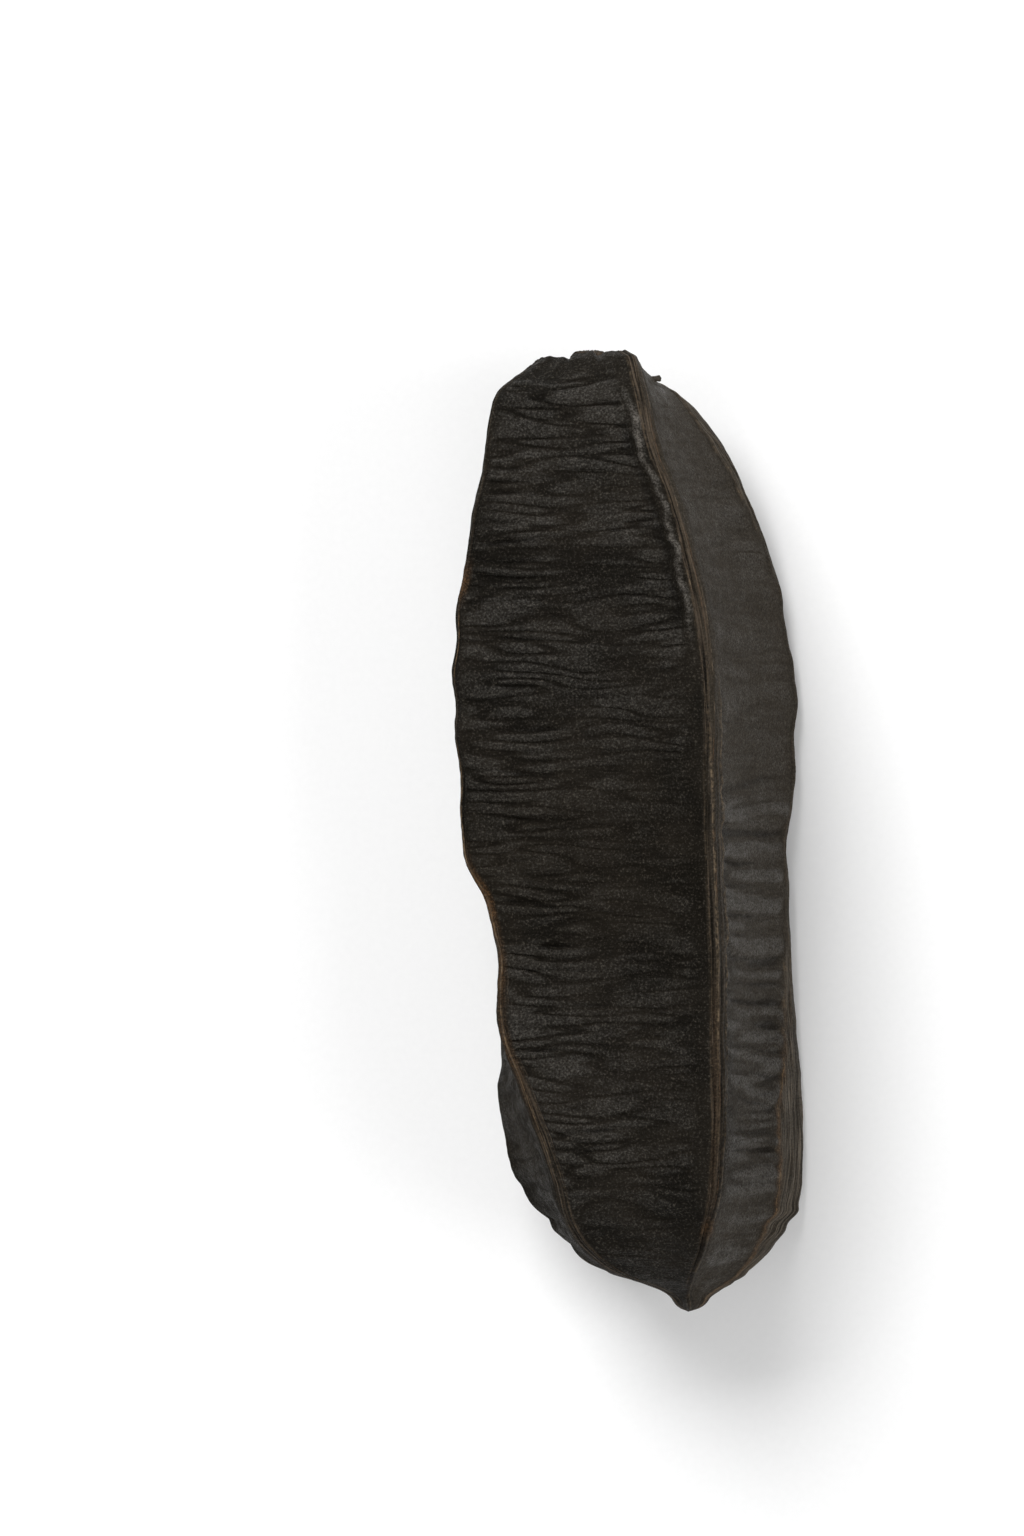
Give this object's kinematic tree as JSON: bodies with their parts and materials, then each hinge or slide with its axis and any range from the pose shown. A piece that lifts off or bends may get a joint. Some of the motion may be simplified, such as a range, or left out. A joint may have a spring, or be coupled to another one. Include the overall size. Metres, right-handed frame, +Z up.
{
  "type": "aridan pod",
  "caption": "Dried winged fruit pod with dark, cross-wrinkled webs, fibrous seamed wing edges, a broken stalk and a blunt beak. Used whole or in pieces as a cooking spice.",
  "frame": {"origin": "under the middle of the pod, at the centre of its bounding box's underside, on the surface that the pod lies on", "axes": "+Y along the pod towards its stem end, +Z up from the surface, +X towards the low wing that is on the right when the pod is seen from above with its stem end at the top"},
  "size_m": [0.0506, 0.1604, 0.0417],
  "materials": {
    "pod_skin": "matte to satin, dark brown-black dried skin"
  },
  "bodies": {
    "root": {"pod": "pod_skin"}
  },
  "joints": []
}
